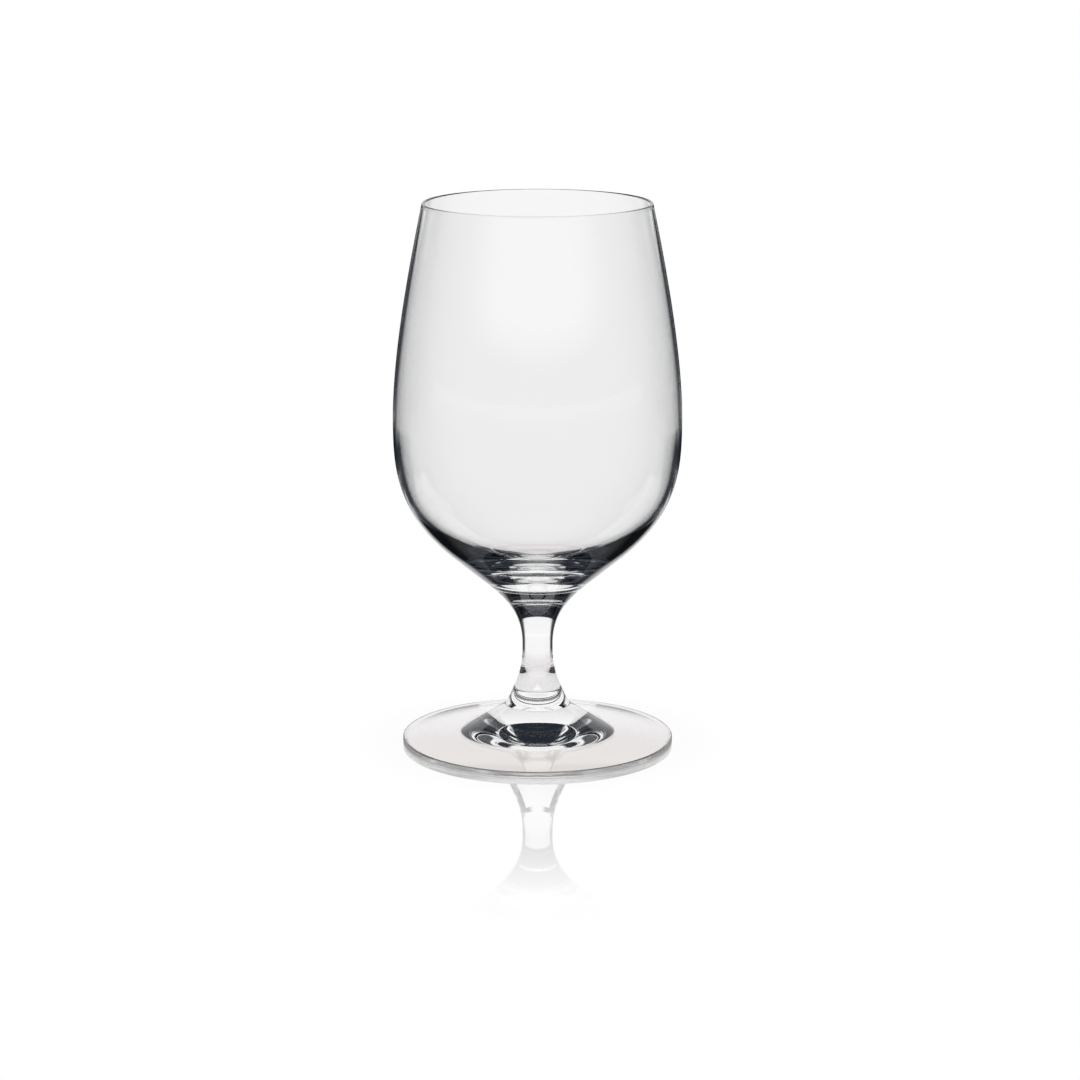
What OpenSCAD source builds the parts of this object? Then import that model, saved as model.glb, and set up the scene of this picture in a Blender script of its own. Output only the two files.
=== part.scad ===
// Stemmed water glass: a blown bowl, a waisted stem and a spread foot, three
// gathers of clear glass fused end to end. All sizes are in millimetres.
// The axis of the glass is Z and the foot rests on the plane z = 0.

/* [Bowl] */
// Height of the bowl above its weld to the stem
bowl_h = 107.8; // [95:0.1:125]
// Outer diameter at the rim
rim_d = 64.4; // [56:0.1:74]
// Outer diameter at the belly, the widest place
belly_d = 81.5; // [76:0.1:92]
// Height of the belly above the weld
belly_h = 46.2; // [40:0.1:54]
// Diameter where the round lower wall runs out into the cone
cone_d = 48.9; // [42:0.1:56]
// Height of that place above the weld
cone_h = 7.9; // [6:0.1:10]
// Lean of the wall at the rim, inward from upright, in degrees
rim_lean = 11.8; // [6:0.1:16]
// Thickness of the wall at the rim, where it is melted round
rim_t = 0.85; // [0.6:0.05:1.6]
// Thickness of the wall at the belly
belly_t = 1.5; // [1:0.05:2.4]
// Thickness of the glass at the heel, where the inside turns into the bottom
heel_t = 3; // [2:0.1:4]
// How much flatter than the cone the inside runs at the heel, in degrees
heel_turn = 2.8; // [0:0.1:8]
// Height of the bowl's inner bottom above the weld
floor_h = 3.5; // [2.5:0.1:6]

/* [Stem] */
// Height of the stem between its two welds
stem_h = 36.3; // [28:0.1:60]
// Diameter at the waist, the thinnest place
waist_d = 8.7; // [6:0.1:12]
// Height of the waist above the lower weld
waist_h = 17.8; // [14:0.1:22]
// Diameter of the upper weld, where the stem carries the bowl
head_d = 29.8; // [24:0.1:34]
// Diameter of the lower weld, where the stem stands on the foot
base_d = 18.2; // [15:0.1:22]
// Flare of the stem at the lower weld, outward from upright, in degrees
base_flare = 25; // [15:0.5:40]
// Depth to which the bowl's round bottom is sunk in the stem's head
bowl_sink = 1.2; // [0.6:0.1:2]

/* [Foot] */
// Diameter of the foot
foot_d = 77.3; // [70:0.1:90]
// Height of the foot's crown, at the lower weld
crown_h = 10.9; // [9:0.1:14]
// Diameter where the crown runs out into the flat plate
crown_d = 45; // [40:0.5:54]
// Height of the plate's upper side at that place
crown_foot_h = 3.25; // [2.8:0.05:4]
// Fall of the crown's flank below the horizontal at the weld, in degrees
crown_fall = 26; // [20:0.5:40]
// Thickness of the foot at its edge
edge_t = 1.8; // [1.2:0.05:2.4]
// Radius of the small rounds above and below the edge
edge_round = 0.4; // [0.2:0.05:0.55]
// Width of the flat ring on which the foot rests
rest_w = 1; // [0.6:0.1:2]
// Height of the hollow under the middle of the foot
hollow_h = 2.8; // [1:0.1:3.4]
// Depth to which the stem's round end is sunk in the crown
stem_sink = 0.8; // [0.4:0.1:1.4]

/* [Hidden] */

$fn = 120;

// How many straight steps stand for one curve of an outline
curve_steps = 24;
lip_steps = 10;
edge_steps = 6;
weld_steps = 8;

// Length of each curve's end tangents, as a share of the curve's height
rim_tangent_share = 0.31;
belly_up_tangent_share = 0.3;
belly_down_tangent_share = 0.32;
cone_tangent_share = 0.54;
inner_belly_tangent_share = 0.65;
heel_tangent_share = 0.315;
head_tangent_share = 0.43;
waist_up_tangent_share = 0.47;
waist_down_tangent_share = 0.37;
base_tangent_share = 0.57;

// The same for curves that run inward or outward, as a share of their run
heel_slide_share = 0.6;
floor_width_share = 0.45;
crown_tangent_share = 0.3;
plate_tangent_share = 0.165;

// The two welds, shared by the pieces that meet there
foot_weld = [base_d / 2, crown_h];
bowl_weld = [head_d / 2, crown_h + stem_h];

waist = [waist_d / 2, crown_h + waist_h];
cone_top = [cone_d / 2, bowl_weld.y + cone_h];
belly = [belly_d / 2, bowl_weld.y + belly_h];
rim_z = bowl_weld.y + bowl_h;
floor_z = bowl_weld.y + floor_h;

// The lip is a half circle that stands square on the leaning wall
lip_r = rim_t / 2;
lip_across = [cos(rim_lean), sin(rim_lean)];
lip_up = [-sin(rim_lean), cos(rim_lean)];
lip_centre = [rim_d / 2 - lip_r * lip_across.x, rim_z - lip_r];

// The cone's direction, which the lower wall and the stem's head both follow
cone_run = (bowl_weld - cone_top) / norm(bowl_weld - cone_top);

// The heel lies inside the cone's top, square to the cone
heel = cone_top + heel_t * [cone_run.y, -cone_run.x];
heel_angle = atan2(cone_run.x, cone_run.y) + heel_turn;
heel_run = [sin(heel_angle), cos(heel_angle)];

// The foot's edge is a short upright band between two small rounds, and the
// plate's upper side runs into the upper one
upper_round = [foot_d / 2 - edge_round, edge_t - edge_round];
lower_round = [foot_d / 2 - edge_round, edge_round];
crown_end = [crown_d / 2, crown_foot_h];
plate_reach = upper_round - crown_end;
plate_angle = atan2(plate_reach.y, plate_reach.x) + asin(edge_round / norm(plate_reach));
plate_run = [cos(plate_angle), sin(plate_angle)];
rest_r = lower_round.x - rest_w;

// Points of a curve from a to d that leaves towards b and arrives from c
function curve(a, b, c, d) = [
    for (i = [0 : curve_steps])
        let (t = i / curve_steps, s = 1 - t)
            s * s * s * a + 3 * s * s * t * b + 3 * s * t * t * c + t * t * t * d
];

// Points of an arc about a centre, between two angles
function arc(centre, radius, from, to, steps) = [
    for (i = [0 : steps])
        let (angle = from + (to - from) * i / steps)
            centre + radius * [cos(angle), sin(angle)]
];

// Points of a shallow round seat from the axis out to a weld ring
function seat(weld, sink) = [
    for (i = [0 : weld_steps])
        let (share = i / weld_steps)
            [weld.x * share, weld.y - sink * (1 - share * share)]
];

function reversed(list) = [for (i = [len(list) - 1 : -1 : 0]) list[i]];

function without_first(list) = [for (i = [1 : len(list) - 1]) list[i]];

// Points of the wall between the belly and the lip, on the side given
function upper_wall(low, high) =
    let (rise = high.y - low.y)
        curve(
            low,
            low + [0, belly_up_tangent_share * rise],
            high - rim_tangent_share * rise * lip_up,
            high
        );

function bowl_outside() =
    let (rise = belly.y - cone_top.y)
        concat(
            [bowl_weld],
            curve(
                cone_top,
                cone_top - cone_tangent_share * rise * cone_run,
                belly - [0, belly_down_tangent_share * rise],
                belly
            ),
            without_first(upper_wall(belly, lip_centre + lip_r * lip_across))
        );

function bowl_inside() =
    let (
        wall = belly - [belly_t, 0],
        rise = wall.y - heel.y,
        slide = (floor_z - heel.y) / heel_run.y
    )
        concat(
            reversed(upper_wall(wall, lip_centre - lip_r * lip_across)),
            without_first(curve(
                wall,
                wall - [0, inner_belly_tangent_share * rise],
                heel - heel_tangent_share * rise * heel_run,
                heel
            )),
            without_first(curve(
                heel,
                heel + heel_slide_share * slide * heel_run,
                [floor_width_share * heel.x, floor_z],
                [0, floor_z]
            ))
        );

function stem_outside() =
    let (
        head_rise = bowl_weld.y - waist.y,
        base_rise = waist.y - foot_weld.y
    )
        concat(
            curve(
                bowl_weld,
                bowl_weld + head_tangent_share * head_rise * cone_run,
                waist + [0, waist_up_tangent_share * head_rise],
                waist
            ),
            without_first(curve(
                waist,
                waist - [0, waist_down_tangent_share * base_rise],
                foot_weld + base_tangent_share * base_rise * [-sin(base_flare), cos(base_flare)],
                foot_weld
            ))
        );

function foot_top() =
    let (spread = crown_end.x - foot_weld.x)
        curve(
            foot_weld,
            foot_weld + crown_tangent_share * spread * [cos(crown_fall), -sin(crown_fall)],
            crown_end - plate_tangent_share * spread * plate_run,
            crown_end
        );

// Underside from the resting ring to the axis, hollowed like a shallow dish
function foot_underside() = [
    for (i = [0 : curve_steps])
        let (share = 1 - i / curve_steps)
            [rest_r * share, hollow_h * (1 - share * share)]
];

module bowl() {
    color("aliceblue", 0.35)
        rotate_extrude()
            polygon(concat(
                without_first(seat(bowl_weld, bowl_sink)),
                without_first(bowl_outside()),
                without_first(arc(lip_centre, lip_r, rim_lean, rim_lean + 180, lip_steps)),
                without_first(bowl_inside()),
                [[0, bowl_weld.y - bowl_sink]]
            ));
}

module stem() {
    color("lavender", 0.5)
        rotate_extrude()
            polygon(concat(
                seat(bowl_weld, bowl_sink),
                without_first(stem_outside()),
                without_first(reversed(seat(foot_weld, stem_sink)))
            ));
}

module foot() {
    color("whitesmoke", 0.4)
        rotate_extrude()
            polygon(concat(
                seat(foot_weld, stem_sink),
                without_first(foot_top()),
                arc(upper_round, edge_round, plate_angle + 90, 0, edge_steps),
                arc(lower_round, edge_round, 0, -90, edge_steps),
                foot_underside()
            ));
}

bowl();
stem();
foot();
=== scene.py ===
import math

import bpy
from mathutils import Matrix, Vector


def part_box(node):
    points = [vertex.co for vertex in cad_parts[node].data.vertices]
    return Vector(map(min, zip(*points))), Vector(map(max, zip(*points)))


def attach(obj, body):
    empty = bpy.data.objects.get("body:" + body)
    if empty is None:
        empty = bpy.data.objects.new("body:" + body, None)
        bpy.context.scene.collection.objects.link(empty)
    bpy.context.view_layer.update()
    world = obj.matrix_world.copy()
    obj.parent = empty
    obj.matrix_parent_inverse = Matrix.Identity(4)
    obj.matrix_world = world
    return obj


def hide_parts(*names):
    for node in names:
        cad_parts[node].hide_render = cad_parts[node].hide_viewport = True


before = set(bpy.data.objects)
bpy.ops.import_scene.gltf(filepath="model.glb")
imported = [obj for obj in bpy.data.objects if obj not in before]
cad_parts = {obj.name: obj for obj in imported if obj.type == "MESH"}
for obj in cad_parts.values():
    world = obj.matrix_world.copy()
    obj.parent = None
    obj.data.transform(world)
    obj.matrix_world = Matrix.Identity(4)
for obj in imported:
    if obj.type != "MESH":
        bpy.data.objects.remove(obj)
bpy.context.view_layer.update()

# Stemmed water glass, three gathers of clear glass fused end to end, on a pale
# glossy floor. Outlines are worked out in millimetres and turned into meshes
# in metres.
MM = 0.001

# Camera, at the photograph's viewing angle. Its place is in metres, the angle
# that it looks down by in degrees, its lens and its sensor in millimetres
CAMERA_PLACE = (0.0007, -0.918, 0.2661)
CAMERA_FALL = 12.72
CAMERA_LENS = 110.46
SENSOR_WIDTH = 36

# Sizes that the frame gives
bowl_low, bowl_high = (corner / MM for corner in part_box("bowl"))
stem_low, stem_high = (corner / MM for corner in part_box("stem"))
foot_low, foot_high = (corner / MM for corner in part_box("foot"))
RIM_Z = bowl_high.z
BELLY_R = min(bowl_high.x, bowl_high.y, -bowl_low.x, -bowl_low.y)
BOWL_WELD = Vector((stem_high.x, stem_high.z))
BOWL_SINK = stem_high.z - bowl_low.z
CROWN_H = foot_high.z
STEM_SINK = CROWN_H - stem_low.z
FOOT_R = min(foot_high.x, foot_high.y, -foot_low.x, -foot_low.y)

# Sizes of the bowl that the frame doesn't give
RIM_D = 64.4
BELLY_H = 46.2
CONE_D = 48.9
CONE_H = 7.9
RIM_LEAN = math.radians(11.8)
RIM_T = 0.85
BELLY_T = 1.5
HEEL_T = 3.0
HEEL_TURN = math.radians(2.8)
FLOOR_H = 3.5

# Sizes of the stem and the foot that the frame doesn't give
WAIST_D = 8.7
WAIST_H = 17.8
BASE_D = 18.2
BASE_FLARE = math.radians(25)
CROWN_D = 45.0
CROWN_FOOT_H = 3.25
CROWN_FALL = math.radians(26)
EDGE_T = 1.8
EDGE_ROUND = 0.4
REST_W = 1.0
HOLLOW_H = 2.8

# Length of each curve's end tangents, as a share of the curve's height
RIM_TANGENT = 0.31
BELLY_UP_TANGENT = 0.3
BELLY_DOWN_TANGENT = 0.32
CONE_TANGENT = 0.54
INNER_BELLY_TANGENT = 0.65
HEEL_TANGENT = 0.315
HEAD_TANGENT = 0.43
WAIST_UP_TANGENT = 0.47
WAIST_DOWN_TANGENT = 0.37
BASE_TANGENT = 0.57

# The same for curves that run inward or outward, as a share of their run
HEEL_SLIDE = 0.6
FLOOR_WIDTH = 0.45
CROWN_TANGENT = 0.3
PLATE_TANGENT = 0.165

# Each weld shows as a very fine ring, a groove this deep and wide in millimetres
GROOVE_DEPTH = 0.06
GROOVE_WIDTH = 0.35

# Fineness of the meshes. A radius under AXIS_R counts as the axis
CURVE_STEPS = 56
LIP_STEPS = 20
EDGE_STEPS = 10
SEAT_STEPS = 20
RING_STEPS = 240
AXIS_R = 1e-6
SHARP_ANGLE = math.radians(40)

WHITE = (1, 1, 1, 1)

# How uneven the glass is, in metres, and how clear
GLASS_IOR = 1.52
RIPPLE = 0.00001
RIPPLE_DETAIL = 1.5
RIPPLE_ROUGHNESS = 0.4
BOWL_RIPPLES = (120, 120, 30)
STEM_RIPPLES = (150, 150, 60)
FOOT_RIPPLES = (90, 90, 90)
CLEAR = 0.02
HAZY = 0.028
HAZE_SCALE = 90.0
HAZE_DETAIL = 4.0
HAZE_START = 0.5
HAZE_END = 0.8

# The foot's edge is scuffed by use, to a depth in metres, so it lets less light
# straight through
SCUFF = 0.0001
SCUFFS = (150, 150, 1200)
SCUFF_DETAIL = 3.0
SCUFF_ROUGHNESS = 0.5
SCUFFED = 0.12
SCUFFED_CLEAR = 0.5

# The stem's outline gets painted shade, dark between two heights in metres, from where
# its side turns away enough
STEM_SHADE_LOW = 0.022
STEM_SHADE_HIGH = 0.046
STEM_SHADE_FADE = 0.006
STEM_SHADE_BLEND = 0.5
STEM_SHADE_START = 0.36
STEM_SHADE_END = 0.52
STEM_SHADE_TINT = (0.004, 0.005, 0.008, 1)

# Numbers of the materials that follow the clear glass in a piece's list
WELD_SLOT = 1
EDGE_SLOT = 2

# Numbers of a Mix node's two inputs and its output, for each kind of value
MIX_NUMBERS = (2, 3, 0)
MIX_COLOURS = (6, 7, 2)

FOOT_WELD = Vector((BASE_D / 2, CROWN_H))
WAIST = Vector((WAIST_D / 2, CROWN_H + WAIST_H))
CONE_TOP = Vector((CONE_D / 2, BOWL_WELD.y + CONE_H))
BELLY = Vector((BELLY_R, BOWL_WELD.y + BELLY_H))
FLOOR_Z = BOWL_WELD.y + FLOOR_H

LIP_R = RIM_T / 2
LIP_ACROSS = Vector((math.cos(RIM_LEAN), math.sin(RIM_LEAN)))
LIP_UP = Vector((-math.sin(RIM_LEAN), math.cos(RIM_LEAN)))
LIP_CENTRE = Vector((RIM_D / 2 - LIP_R * LIP_ACROSS.x, RIM_Z - LIP_R))

CONE_RUN = (BOWL_WELD - CONE_TOP).normalized()
HEEL = CONE_TOP + HEEL_T * Vector((CONE_RUN.y, -CONE_RUN.x))
HEEL_ANGLE = math.atan2(CONE_RUN.x, CONE_RUN.y) + HEEL_TURN
HEEL_RUN = Vector((math.sin(HEEL_ANGLE), math.cos(HEEL_ANGLE)))

UPPER_ROUND = Vector((FOOT_R - EDGE_ROUND, EDGE_T - EDGE_ROUND))
LOWER_ROUND = Vector((FOOT_R - EDGE_ROUND, EDGE_ROUND))
CROWN_END = Vector((CROWN_D / 2, CROWN_FOOT_H))
PLATE_REACH = UPPER_ROUND - CROWN_END
PLATE_ANGLE = math.atan2(PLATE_REACH.y, PLATE_REACH.x) + math.asin(EDGE_ROUND / PLATE_REACH.length)
PLATE_RUN = Vector((math.cos(PLATE_ANGLE), math.sin(PLATE_ANGLE)))
REST_R = LOWER_ROUND.x - REST_W


def curve(a, b, c, d):
    """Points of a curve from a to d that leaves towards b and arrives from c."""
    points = []
    for i in range(CURVE_STEPS + 1):
        t = i / CURVE_STEPS
        s = 1 - t
        points.append(s * s * s * a + 3 * s * s * t * b + 3 * s * t * t * c + t * t * t * d)
    return points


def straight(start, end, steps):
    """Points of a straight line in equal steps."""
    return [start.lerp(end, i / steps) for i in range(steps + 1)]


def arc(centre, radius, start, end, steps):
    """Points of an arc about a centre, between two angles in radians."""
    turns = [start + (end - start) * i / steps for i in range(steps + 1)]
    return [centre + radius * Vector((math.cos(turn), math.sin(turn))) for turn in turns]


def seat(weld, sink):
    """Points of the shallow round seat of a weld, from the axis out to its ring."""
    shares = [i / SEAT_STEPS for i in range(SEAT_STEPS + 1)]
    return [Vector((weld.x * share, weld.y - sink * (1 - share * share))) for share in shares]


def upper_wall(low, high):
    """Points of the bowl's wall between the belly and the lip."""
    rise = high.y - low.y
    return curve(low, low + Vector((0, BELLY_UP_TANGENT * rise)), high - RIM_TANGENT * rise * LIP_UP, high)


def bowl_outside():
    """The bowl's outline from its weld up to the lip."""
    rise = BELLY.y - CONE_TOP.y
    leaving = CONE_TOP - CONE_TANGENT * rise * CONE_RUN
    arriving = BELLY - Vector((0, BELLY_DOWN_TANGENT * rise))
    cone = straight(BOWL_WELD, CONE_TOP, EDGE_STEPS)
    lower = curve(CONE_TOP, leaving, arriving, BELLY)
    upper = upper_wall(BELLY, LIP_CENTRE + LIP_R * LIP_ACROSS)
    return cone + lower[1:] + upper[1:]


def bowl_inside():
    """The bowl's inner outline from the lip down to the axis."""
    wall = BELLY - Vector((BELLY_T, 0))
    rise = wall.y - HEEL.y
    slide = (FLOOR_Z - HEEL.y) / HEEL_RUN.y
    leaving = wall - Vector((0, INNER_BELLY_TANGENT * rise))
    arriving = HEEL - HEEL_TANGENT * rise * HEEL_RUN
    upper = upper_wall(wall, LIP_CENTRE - LIP_R * LIP_ACROSS)
    lower = curve(wall, leaving, arriving, HEEL)
    sliding = HEEL + HEEL_SLIDE * slide * HEEL_RUN
    bottom = curve(HEEL, sliding, Vector((FLOOR_WIDTH * HEEL.x, FLOOR_Z)), Vector((0, FLOOR_Z)))
    return upper[::-1] + lower[1:] + bottom[1:]


def stem_outside():
    """The stem's outline from its lower weld up to its upper one."""
    head_rise = BOWL_WELD.y - WAIST.y
    base_rise = WAIST.y - FOOT_WELD.y
    flare = Vector((-math.sin(BASE_FLARE), math.cos(BASE_FLARE)))
    leaving = FOOT_WELD + BASE_TANGENT * base_rise * flare
    arriving = BOWL_WELD + HEAD_TANGENT * head_rise * CONE_RUN
    base = curve(FOOT_WELD, leaving, WAIST - Vector((0, WAIST_DOWN_TANGENT * base_rise)), WAIST)
    head = curve(WAIST, WAIST + Vector((0, WAIST_UP_TANGENT * head_rise)), arriving, BOWL_WELD)
    return base + head[1:]


def foot_top():
    """The foot's upper side from the weld out to the edge of the crown."""
    spread = CROWN_END.x - FOOT_WELD.x
    leaving = FOOT_WELD + CROWN_TANGENT * spread * Vector((math.cos(CROWN_FALL), -math.sin(CROWN_FALL)))
    arriving = CROWN_END - PLATE_TANGENT * spread * PLATE_RUN
    return curve(FOOT_WELD, leaving, arriving, CROWN_END)


def foot_edge():
    """The foot's edge, from the resting ring up and round to the plate."""
    lower = arc(LOWER_ROUND, EDGE_ROUND, math.radians(-90), 0, EDGE_STEPS)
    upper = arc(UPPER_ROUND, EDGE_ROUND, 0, PLATE_ANGLE + math.radians(90), EDGE_STEPS)
    return lower + upper


def foot_underside():
    """The shallow hollow, from the axis out to the resting ring."""
    shares = [i / CURVE_STEPS for i in range(CURVE_STEPS + 1)]
    return [Vector((REST_R * share, HOLLOW_H * (1 - share * share))) for share in shares]


def grooved(points):
    """The outline with a very fine groove drawn in at each weld's ring."""
    result = []
    for point in points:
        gaps = [(point - weld).length / GROOVE_WIDTH for weld in (FOOT_WELD, BOWL_WELD)]
        pull = sum(math.exp(-gap ** 2) for gap in gaps)
        result.append(Vector((max(point.x - GROOVE_DEPTH * pull, 0), point.y)))
    return result


def lathe(name, outline, materials, rows):
    """A closed mesh turned from an outline that starts and ends on the axis.

    rows gives the number of the material for the rows that don't get the first.
    """
    verts, rings = [], []
    for radius, z in grooved(outline):
        count = 1 if radius < AXIS_R else RING_STEPS
        rings.append(range(len(verts), len(verts) + count))
        for k in range(count):
            turn = math.tau * k / RING_STEPS
            verts.append((radius * MM * math.cos(turn), radius * MM * math.sin(turn), z * MM))
    faces, slots = [], []
    for row, (low, high) in enumerate(zip(rings, rings[1:])):
        for k in range(RING_STEPS):
            j = (k + 1) % RING_STEPS
            if len(low) == 1:
                faces.append((low[0], high[j], high[k]))
            elif len(high) == 1:
                faces.append((low[k], low[j], high[0]))
            else:
                faces.append((low[k], low[j], high[j], high[k]))
            slots.append(rows.get(row, 0))
    mesh = bpy.data.meshes.new(name)
    mesh.from_pydata(verts, [], faces)
    for material in materials:
        mesh.materials.append(material)
    mesh.polygons.foreach_set("material_index", slots)
    mesh.polygons.foreach_set("use_smooth", [True] * len(faces))
    mesh.set_sharp_from_angle(angle=SHARP_ANGLE)
    piece = bpy.data.objects.new(name, mesh)
    bpy.context.scene.collection.objects.link(piece)
    return piece


class Nodes:
    """Adds shader nodes to one tree and links them by name."""

    def __init__(self, tree):
        self.tree = tree
        tree.nodes.clear()

    def add(self, kind, **settings):
        node = self.tree.nodes.new("ShaderNode" + kind)
        for key, value in settings.items():
            setattr(node, key, value)
        return node

    def feed(self, node, **inputs):
        """Sets or links a node's inputs; an underscore in a name stands for a space."""
        for key, value in inputs.items():
            self.put(value, node.inputs[key.replace("_", " ")])

    def put(self, value, socket):
        if isinstance(value, bpy.types.NodeSocket):
            self.tree.links.new(value, socket)
        else:
            socket.default_value = value

    def end(self, kind, shader):
        """Shows a shader on the surface of a material or the world."""
        self.feed(self.add("Output" + kind), Surface=shader.outputs[0])

    def split(self, vector):
        """The x, y and z of a vector."""
        node = self.add("SeparateXYZ")
        self.feed(node, Vector=vector)
        return node.outputs

    def math(self, operation, *values):
        node = self.add("Math", operation=operation)
        for value, socket in zip(values, node.inputs):
            self.put(value, socket)
        return node.outputs[0]

    def product(self, *values):
        result = values[0]
        for value in values[1:]:
            result = self.math("MULTIPLY", result, value)
        return result

    def largest(self, *values):
        result = values[0]
        for value in values[1:]:
            result = self.math("MAXIMUM", result, value)
        return result

    def rest(self, share):
        """What a share leaves of one."""
        return self.math("SUBTRACT", 1.0, share)

    def at_most(self, count, most):
        """1 where a whole count is no more than most."""
        return self.math("LESS_THAN", count, most + 0.5)

    def ramp(self, value, start, end, low=0.0, high=1.0):
        """A smooth change from low to high as the value goes from start to end."""
        node = self.add("MapRange", interpolation_type="SMOOTHERSTEP")
        self.feed(node, Value=value, From_Min=start, From_Max=end, To_Min=low, To_Max=high)
        return node.outputs[0]

    def mix(self, kind, sockets, share, first, second):
        node = self.add("Mix", data_type=kind)
        first_input, second_input, output = sockets
        self.put(share, node.inputs[0])
        self.put(first, node.inputs[first_input])
        self.put(second, node.inputs[second_input])
        return node.outputs[output]

    def mixed(self, share, first, second):
        """A colour that goes from the first to the second as the share goes from 0 to 1."""
        return self.mix("RGBA", MIX_COLOURS, share, first, second)

    def pick(self, choice, yes, no):
        """yes where choice is 1, no where it is 0."""
        return self.mix("FLOAT", MIX_NUMBERS, choice, no, yes)

    def uneven(self, place, scale, detail, roughness, depth):
        """A normal that waves as noise does, over a depth in metres."""
        stretch = self.add("Mapping")
        self.feed(stretch, Vector=place, Scale=scale)
        noise = self.add("TexNoise")
        self.feed(noise, Vector=stretch.outputs[0], Scale=1.0, Detail=detail, Roughness=roughness)
        bump = self.add("Bump")
        self.feed(bump, Height=noise.outputs[0], Strength=1.0, Distance=depth)
        return bump.outputs[0]


def new_material(name):
    """A material and the nodes of its tree."""
    material = bpy.data.materials.new(name)
    material.use_nodes = True
    return material, Nodes(material.node_tree)


def radius_of(nodes, x, y):
    return nodes.math("SQRT", nodes.math("ADD", nodes.product(x, x), nodes.product(y, y)))


def stem_outline_painted_shade(nodes, place):
    """1 on the part of the stem's outline that gets painted shade."""
    z = nodes.split(place)[2]
    slant = nodes.add("LayerWeight")
    nodes.feed(slant, Blend=STEM_SHADE_BLEND)
    return nodes.product(
        nodes.ramp(slant.outputs["Facing"], STEM_SHADE_START, STEM_SHADE_END),
        nodes.ramp(z, STEM_SHADE_LOW, STEM_SHADE_LOW + STEM_SHADE_FADE),
        nodes.ramp(z, STEM_SHADE_HIGH - STEM_SHADE_FADE, STEM_SHADE_HIGH, 1.0, 0.0))


def glass_material(name, ripples, outline_shaded=False):
    """Clear glass, faintly uneven as blown and drawn glass is, and with painted shade on its outline if
    asked.
    """
    material, nodes = new_material(name)
    place = nodes.add("TexCoord").outputs["Object"]
    haze = nodes.add("TexNoise")
    nodes.feed(haze, Vector=place, Scale=HAZE_SCALE, Detail=HAZE_DETAIL)
    glass = nodes.add("BsdfPrincipled")
    nodes.feed(
        glass, Transmission_Weight=1.0, IOR=GLASS_IOR, Base_Color=WHITE,
        Roughness=nodes.ramp(haze.outputs[0], HAZE_START, HAZE_END, CLEAR, HAZY),
        Normal=nodes.uneven(place, ripples, RIPPLE_DETAIL, RIPPLE_ROUGHNESS, RIPPLE))
    if outline_shaded:
        # Painted shade: the base colour darkens the stem's outline where its side turns away
        nodes.feed(glass, Base_Color=nodes.mixed(stem_outline_painted_shade(nodes, place), WHITE, STEM_SHADE_TINT))
    nodes.end("Material", glass)
    return material


def scuffed_material():
    """Glass with fine scuffs that run round the foot's edge.

    They lie on the outside, so light from within passes as through clear glass.
    """
    material, nodes = new_material("scuffed_glass")
    place = nodes.add("TexCoord").outputs["Object"]
    from_within = nodes.add("NewGeometry").outputs["Backfacing"]
    glass = nodes.add("BsdfPrincipled")
    nodes.feed(
        glass, Transmission_Weight=nodes.pick(from_within, 1.0, SCUFFED_CLEAR), IOR=GLASS_IOR,
        Base_Color=WHITE, Roughness=SCUFFED,
        Normal=nodes.uneven(place, SCUFFS, SCUFF_DETAIL, SCUFF_ROUGHNESS, SCUFF))
    nodes.end("Material", glass)
    return material


def weld_material():
    """The fused face inside the glass, where light goes straight on."""
    material, nodes = new_material("weld")
    nodes.end("Material", nodes.add("BsdfTransparent"))
    return material


def rows_from(first, count, slot):
    """The number of a material for a run of an outline's rows."""
    return dict.fromkeys(range(first, first + count), slot)


def last_rows(outline):
    """The rows of the weld that an outline ends with."""
    return rows_from(len(outline) - 1 - SEAT_STEPS, SEAT_STEPS, WELD_SLOT)


def add_piece(name, node, outline, materials, rows):
    piece = lathe(name, outline, materials, rows)
    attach(piece, "root")
    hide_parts(node)


def add_glass():
    weld = weld_material()
    bowl_seat = seat(BOWL_WELD, BOWL_SINK)
    foot_seat = seat(FOOT_WELD, STEM_SINK)
    first_rows = rows_from(0, SEAT_STEPS, WELD_SLOT)

    lip = arc(LIP_CENTRE, LIP_R, RIM_LEAN, RIM_LEAN + math.pi, LIP_STEPS)
    outline = bowl_seat + bowl_outside()[1:] + lip[1:] + bowl_inside()[1:]
    materials = [glass_material("bowl_glass", BOWL_RIPPLES), weld]
    add_piece("bowl_glass", "bowl", outline, materials, first_rows)

    outline = foot_seat + stem_outside()[1:] + bowl_seat[::-1][1:]
    materials = [glass_material("stem_glass", STEM_RIPPLES, outline_shaded=True), weld]
    add_piece("stem_glass", "stem", outline, materials, first_rows | last_rows(outline))

    edge = foot_edge()
    outline = foot_underside() + edge + foot_top()[::-1] + foot_seat[::-1][1:]
    edge_rows = rows_from(CURVE_STEPS, len(edge), EDGE_SLOT)
    materials = [glass_material("foot_glass", FOOT_RIPPLES), weld, scuffed_material()]
    add_piece("foot_glass", "foot", outline, materials, last_rows(outline) | edge_rows)


# The studio. Its world and floor give each kind of light path a brightness of
# its own: straight through the glass, off its outside and off its inside
DARK = (0.017, 0.021, 0.029, 1)

# Light that comes straight through the glass sees white cards all round, with
# dark gaps between them and dark above, and a wider card behind
CARDS = 8
CARD_HALF = math.radians(13)
CARD_SOFT = math.radians(5)
CARD_TOP = math.radians(22)
CARD_TOP_SOFT = math.radians(4)
FAR_HALF = math.radians(33)
FAR_HALF_SOFT = math.radians(6)

# Light reflected inside the glass sees a white backdrop with dark sides, a
# little dimmer high up and narrower near the horizon
BACKDROP_HALF = math.radians(54)
BACKDROP_SOFT = math.radians(3)
BACKDROP_TOP = math.radians(30)
BACKDROP_TOP_SOFT = math.radians(5)
BACKDROP_LOW = math.radians(8)
BACKDROP_HIGH = math.radians(24)
BACKDROP_DIMMER = 0.8
DIM = 0.03
NARROWING = math.radians(18)
NARROW_TOP = math.radians(2)
NARROW_TOP_SOFT = math.radians(5)

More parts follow.
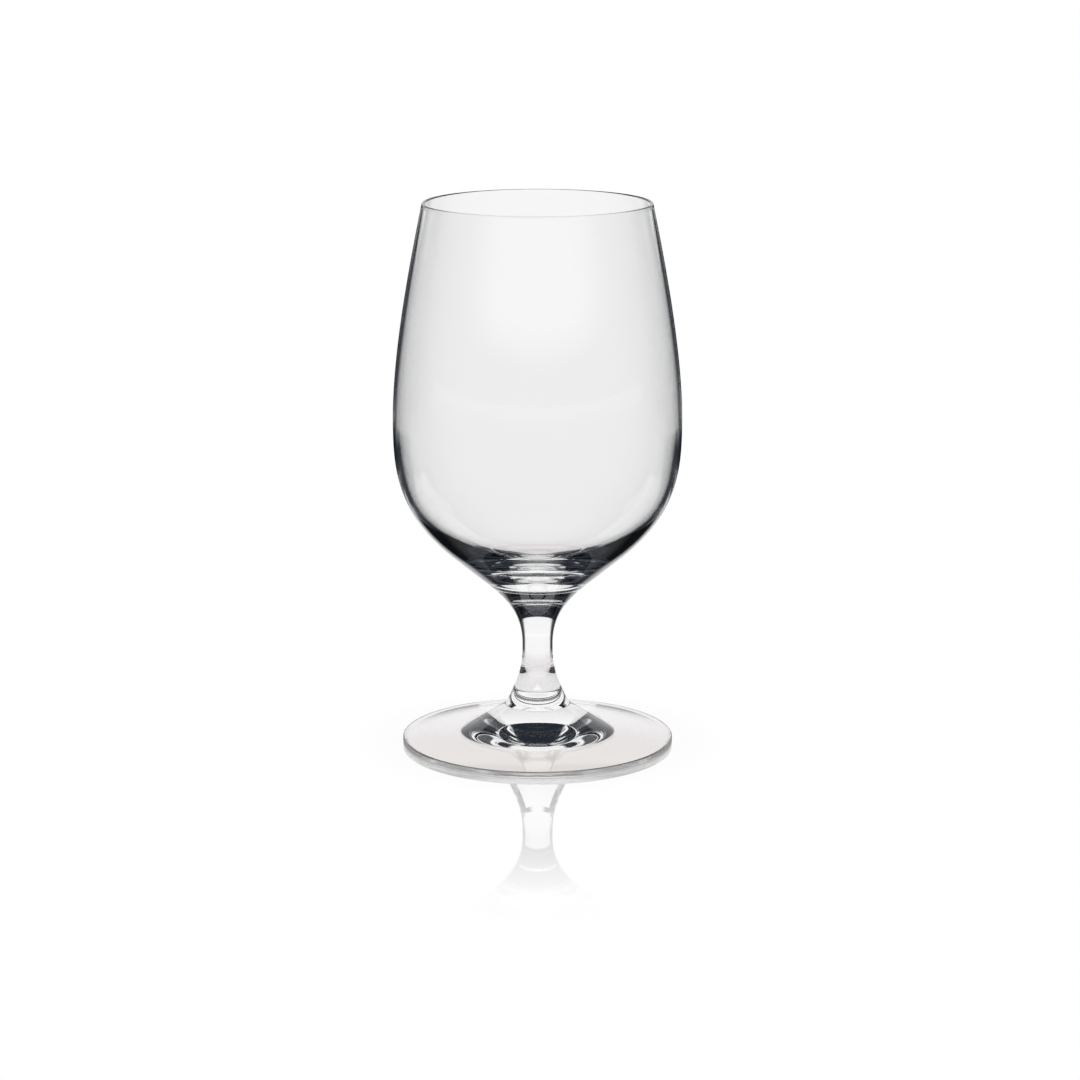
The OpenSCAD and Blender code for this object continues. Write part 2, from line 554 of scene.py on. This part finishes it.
# Light off the glass's outside sees a dimmer and softer backdrop
OUTER_BACKDROP = 0.4
OUTER_BACKDROP_HALF = math.radians(60)
OUTER_BACKDROP_SOFT = math.radians(20)
OUTER_BACKDROP_TOP = math.radians(30)
OUTER_BACKDROP_TOP_SOFT = math.radians(5)

# Reflected light also sees a low window on the camera's side
WINDOW = 1.0
WINDOW_START = math.radians(95)
WINDOW_SOFT = math.radians(65)
WINDOW_LOW = 0.6
WINDOW_LOW_EDGE = math.radians(3)
WINDOW_RISE = math.radians(8)
WINDOW_TOP = math.radians(16)
WINDOW_TOP_SOFT = math.radians(8)

# It sees a glow at either side of the backdrop too, low down and, from a
# radius in metres outward, on the floor
GLOW = 0.42
GLOW_START = math.radians(27)
GLOW_START_SOFT = math.radians(7)
GLOW_END = math.radians(42)
GLOW_END_SOFT = math.radians(36)
GLOW_TOP = math.radians(2)
GLOW_TOP_SOFT = math.radians(5)
GLOW_R = 0.4
GLOW_R_SOFT = 0.12

# The world is dark to light that has been reflected more often than this, and
# light that has crossed more of the glass's surfaces has met a second wall
MOST_REFLECTIONS = 4
ONE_WALL_CROSSINGS = 3

# Seen through the glass, the floor glows white with painted light close to the glass, in front of
# the cards and, farther off, behind the glass. Places are in metres
NEAR_R = 0.26
NEAR_SOFT = 0.06
FAR_R = 0.2
FAR_SOFT = 0.06

# Seen through the foot, the floor has a painted shadow of the glass, a little grey and warm,
# whose shade changes across the middle, from front to back
UNDER_R = 0.045
UNDER_SOFT = 0.05
UNDER_SHADOW_BACK = (0.85, 0.815, 0.825, 1)
UNDER_SHADOW_FRONT = (0.82, 0.785, 0.765, 1)
UNDER_HALF = 0.02

# Light reflected inside sees painted light on the floor: a spot under the stem, and a wedge
# and a soft lane behind. Beyond the foot it sees them through one wall only
SPOT = 0.85
SPOT_R = 0.016
SPOT_SOFT = 0.003
WEDGE_HALF = math.radians(25)
WEDGE_SOFT = math.radians(4)
WEDGE_R = 0.19
WEDGE_R_SOFT = 0.03
LANE_HALF = math.radians(6)
LANE_SOFT = math.radians(16)
UNDER_FOOT_R = 0.045
UNDER_FOOT_SOFT = 0.01

# Light off the outside sees painted light on the floor, white a short way behind the
# glass, and dim in front of it, close by and far off
OUTER_NEAR_R = 0.235
OUTER_NEAR_SOFT = 0.02
OUTER_NEAR_HALF = math.radians(24)
OUTER_NEAR_HALF_SOFT = math.radians(16)
BEHIND_SOFT = 0.05
AHEAD_NEAR = 0.3
AHEAD_NEAR_R = 0.05
AHEAD_NEAR_SOFT = 0.1
AHEAD_FAR = 0.5
AHEAD_FAR_R = 0.3
AHEAD_FAR_SOFT = 2.2

# The floor mirrors the glass softly near the foot, and has a faint painted shadow there
MIRROR = 0.5
MIRROR_NEAR = 0.03
MIRROR_FAR = 0.17
SHADOW = (0.955, 0.955, 0.96, 1)
SHADOW_START = 0.037
SHADOW_END = 0.06

# The studio's floor is a disc just under the foot, in metres
DISC_R = 4.0
DISC_SIDES = 128
DISC_DROP = 0.00002

# Bounces enough for light to find its way out of thick glass
MOST_BOUNCES = 24
MOST_GLOSSY_BOUNCES = 12


def below(nodes, z, top, soft):
    """1 for a direction that rises less steeply than top, 0 above."""
    return nodes.ramp(z, math.sin(top), math.sin(top + soft), 1.0, 0.0)


def within(nodes, value, half, soft):
    """1 up to the value given, 0 beyond it."""
    return nodes.ramp(value, half, half + soft, 1.0, 0.0)


def card_ring(nodes, x, y):
    """1 towards the middle of each card, 0 in the gaps between."""
    turn = nodes.math("ARCTAN2", x, y)
    wave = nodes.math("COSINE", nodes.math("MULTIPLY", turn, float(CARDS)))
    return nodes.ramp(wave, math.cos(CARDS * (CARD_HALF + CARD_SOFT)), math.cos(CARDS * CARD_HALF))


def away_from_back(nodes, x, y):
    """The angle between a place or direction and the one straight behind the glass."""
    return nodes.math("ABSOLUTE", nodes.math("ARCTAN2", x, y))


def ray_kinds(nodes, path):
    """1 for rays straight through the glass, off its outside and off its inside."""
    straight_through = nodes.at_most(path["Glossy Depth"], 0)
    outside = nodes.product(path["Is Glossy Ray"], nodes.at_most(path["Ray Depth"], 1))
    inside = nodes.product(nodes.rest(straight_through), nodes.rest(outside))
    return straight_through, outside, inside


def side_glow(nodes, turn):
    """The dim light from either side of the backdrop."""
    return nodes.product(
        nodes.ramp(turn, GLOW_START, GLOW_START + GLOW_START_SOFT, 0.0, GLOW),
        within(nodes, turn, GLOW_END, GLOW_END_SOFT))


def one_wall(nodes, path):
    """1 for rays that have met one wall of the glass at most."""
    return nodes.at_most(path["Transmission Depth"], ONE_WALL_CROSSINGS)


def few_reflections(nodes, path):
    """1 for rays that haven't been reflected too often to see the world."""
    return nodes.at_most(path["Glossy Depth"], MOST_REFLECTIONS)


def lit(nodes, kinds, levels):
    """The level that each kind of ray sees, between dark and white."""
    total = 0.0
    for kind, level in zip(kinds, levels):
        total = nodes.math("ADD", total, nodes.product(kind, level))
    return total


def tone(nodes, level):
    """A grey between the studio's dark and white."""
    return nodes.mixed(level, DARK, WHITE)


def studio_world():
    world = bpy.data.worlds.new("studio")
    bpy.context.scene.world = world
    world.use_nodes = True
    nodes = Nodes(world.node_tree)
    x, y, z = nodes.split(nodes.add("TexCoord").outputs["Generated"])
    turn = away_from_back(nodes, x, y)
    path = nodes.add("LightPath").outputs

    wide_card = within(nodes, turn, FAR_HALF, FAR_HALF_SOFT)
    cards = nodes.product(
        nodes.largest(card_ring(nodes, x, y), wide_card),
        below(nodes, z, CARD_TOP, CARD_TOP_SOFT))
    narrowing = nodes.product(below(nodes, z, NARROW_TOP, NARROW_TOP_SOFT), NARROWING)
    outward = nodes.math("ADD", turn, narrowing)
    backdrop = nodes.product(
        nodes.ramp(outward, BACKDROP_HALF, BACKDROP_HALF + BACKDROP_SOFT, 1.0, DIM),
        nodes.ramp(z, math.sin(BACKDROP_LOW), math.sin(BACKDROP_HIGH), 1.0, BACKDROP_DIMMER),
        below(nodes, z, BACKDROP_TOP, BACKDROP_TOP_SOFT))
    outer_backdrop = nodes.product(
        within(nodes, turn, OUTER_BACKDROP_HALF, OUTER_BACKDROP_SOFT),
        below(nodes, z, OUTER_BACKDROP_TOP, OUTER_BACKDROP_TOP_SOFT), OUTER_BACKDROP)
    window = nodes.product(
        nodes.ramp(turn, WINDOW_START, WINDOW_START + WINDOW_SOFT, 0.0, WINDOW),
        nodes.ramp(z, 0.0, math.sin(WINDOW_RISE), WINDOW_LOW, 1.0),
        below(nodes, z, WINDOW_TOP, WINDOW_TOP_SOFT))
    window_inside = nodes.product(
        window, one_wall(nodes, path),
        nodes.ramp(z, math.sin(WINDOW_LOW_EDGE), math.sin(WINDOW_RISE)))
    glow = nodes.product(side_glow(nodes, turn), below(nodes, z, GLOW_TOP, GLOW_TOP_SOFT))

    levels = (
        cards,
        nodes.largest(outer_backdrop, glow, window),
        nodes.product(nodes.largest(backdrop, glow, window_inside), few_reflections(nodes, path)),
    )
    # The floor's mirror sees a white world, so it shows the glass alone
    mirrored = nodes.product(path["Is Glossy Ray"], path["Is Singular Ray"])
    seen = lit(nodes, ray_kinds(nodes, path), levels)
    level = nodes.largest(seen, mirrored, path["Is Camera Ray"])
    background = nodes.add("Background")
    nodes.feed(background, Color=tone(nodes, level), Strength=1.0)
    nodes.end("World", background)


def floor_material():
    """A pale glossy floor that glows: white to the camera, a soft mirror close to the glass, and painted
    light and shade for light from the glass.
    """
    material, nodes = new_material("pale_floor")
    x, y = nodes.split(nodes.add("NewGeometry").outputs["Position"])[:2]
    radius = radius_of(nodes, x, y)
    turn = away_from_back(nodes, x, y)
    path = nodes.add("LightPath").outputs
    straight_through, outside, inside = ray_kinds(nodes, path)

    # The floor glows: what light from the glass sees on it is painted light and shade
    near = within(nodes, radius, NEAR_R, NEAR_SOFT)
    far = nodes.product(
        within(nodes, turn, FAR_HALF, FAR_HALF_SOFT),
        nodes.ramp(radius, FAR_R, FAR_R + FAR_SOFT))
    seen_through = nodes.largest(card_ring(nodes, x, y), near, far)

    outer_near = nodes.product(
        within(nodes, radius, OUTER_NEAR_R, OUTER_NEAR_SOFT),
        within(nodes, turn, OUTER_NEAR_HALF, OUTER_NEAR_HALF_SOFT))
    ahead = nodes.largest(
        nodes.ramp(radius, AHEAD_NEAR_R, AHEAD_NEAR_R + AHEAD_NEAR_SOFT, AHEAD_NEAR, 0.0),
        nodes.ramp(radius, AHEAD_FAR_R, AHEAD_FAR_R + AHEAD_FAR_SOFT, 0.0, AHEAD_FAR))
    glow = nodes.product(side_glow(nodes, turn), nodes.ramp(radius, GLOW_R, GLOW_R + GLOW_R_SOFT))
    behind = nodes.ramp(y, 0.0, BEHIND_SOFT)
    off_outside = nodes.pick(behind, nodes.largest(outer_near, glow), ahead)

    # Painted pools of light on the floor, for light reflected inside the glass
    spot = nodes.product(within(nodes, radius, SPOT_R, SPOT_SOFT), SPOT)
    wedge = nodes.product(
        within(nodes, turn, WEDGE_HALF, WEDGE_SOFT),
        within(nodes, radius, WEDGE_R, WEDGE_R_SOFT))
    lane = within(nodes, turn, LANE_HALF, LANE_SOFT)
    under_foot = within(nodes, radius, UNDER_FOOT_R, UNDER_FOOT_SOFT)
    allowed = nodes.largest(one_wall(nodes, path), under_foot)
    lit_patches = nodes.product(nodes.largest(spot, wedge, lane), allowed)
    off_inside = nodes.largest(lit_patches, glow, DIM)

    kinds = (straight_through, outside, inside)
    seen = lit(nodes, kinds, (seen_through, off_outside, off_inside))
    level = nodes.largest(seen, path["Is Camera Ray"])
    # Painted shadow of the glass on the floor, seen through the foot
    under_shadow_tint = nodes.mixed(nodes.ramp(y, -UNDER_HALF, UNDER_HALF), UNDER_SHADOW_FRONT, UNDER_SHADOW_BACK)
    under_shadow = nodes.product(
        within(nodes, radius, UNDER_R, UNDER_SOFT), straight_through,
        nodes.rest(path["Is Camera Ray"]))
    # Painted shadow on the floor round the foot, seen by the camera
    shadow = nodes.product(
        nodes.ramp(radius, SHADOW_START, SHADOW_END, 1.0, 0.0), path["Is Camera Ray"])
    colour = nodes.mixed(shadow, nodes.mixed(under_shadow, tone(nodes, level), under_shadow_tint), SHADOW)

    paint = nodes.add("Emission")
    nodes.feed(paint, Color=colour)
    mirror = nodes.add("BsdfGlossy")
    nodes.feed(mirror, Color=WHITE, Roughness=0.0)
    share = nodes.product(
        nodes.ramp(radius, MIRROR_NEAR, MIRROR_FAR, MIRROR, 0.0), path["Is Camera Ray"])
    mix = nodes.add("MixShader")
    for value, socket in zip((share, paint.outputs[0], mirror.outputs[0]), mix.inputs):
        nodes.put(value, socket)
    nodes.end("Material", mix)
    return material


def add_floor():
    bpy.ops.mesh.primitive_circle_add(
        vertices=DISC_SIDES, radius=DISC_R, fill_type="NGON", location=(0, 0, -DISC_DROP))
    floor = bpy.context.object
    floor.name = "floor"
    floor.data.materials.append(floor_material())


def add_camera():
    data = bpy.data.cameras.new("camera")
    data.lens = CAMERA_LENS
    data.sensor_width = SENSOR_WIDTH
    camera = bpy.data.objects.new("camera", data)
    camera.location = CAMERA_PLACE
    camera.rotation_euler = (math.radians(90 - CAMERA_FALL), 0, 0)
    bpy.context.scene.collection.objects.link(camera)
    bpy.context.scene.camera = camera


def set_light_paths():
    scene = bpy.context.scene
    scene.view_settings.view_transform = "Standard"
    scene.cycles.max_bounces = MOST_BOUNCES
    scene.cycles.transmission_bounces = MOST_BOUNCES
    scene.cycles.glossy_bounces = MOST_GLOSSY_BOUNCES
    scene.cycles.transparent_max_bounces = MOST_BOUNCES


add_camera()
set_light_paths()
studio_world()
add_floor()
add_glass()
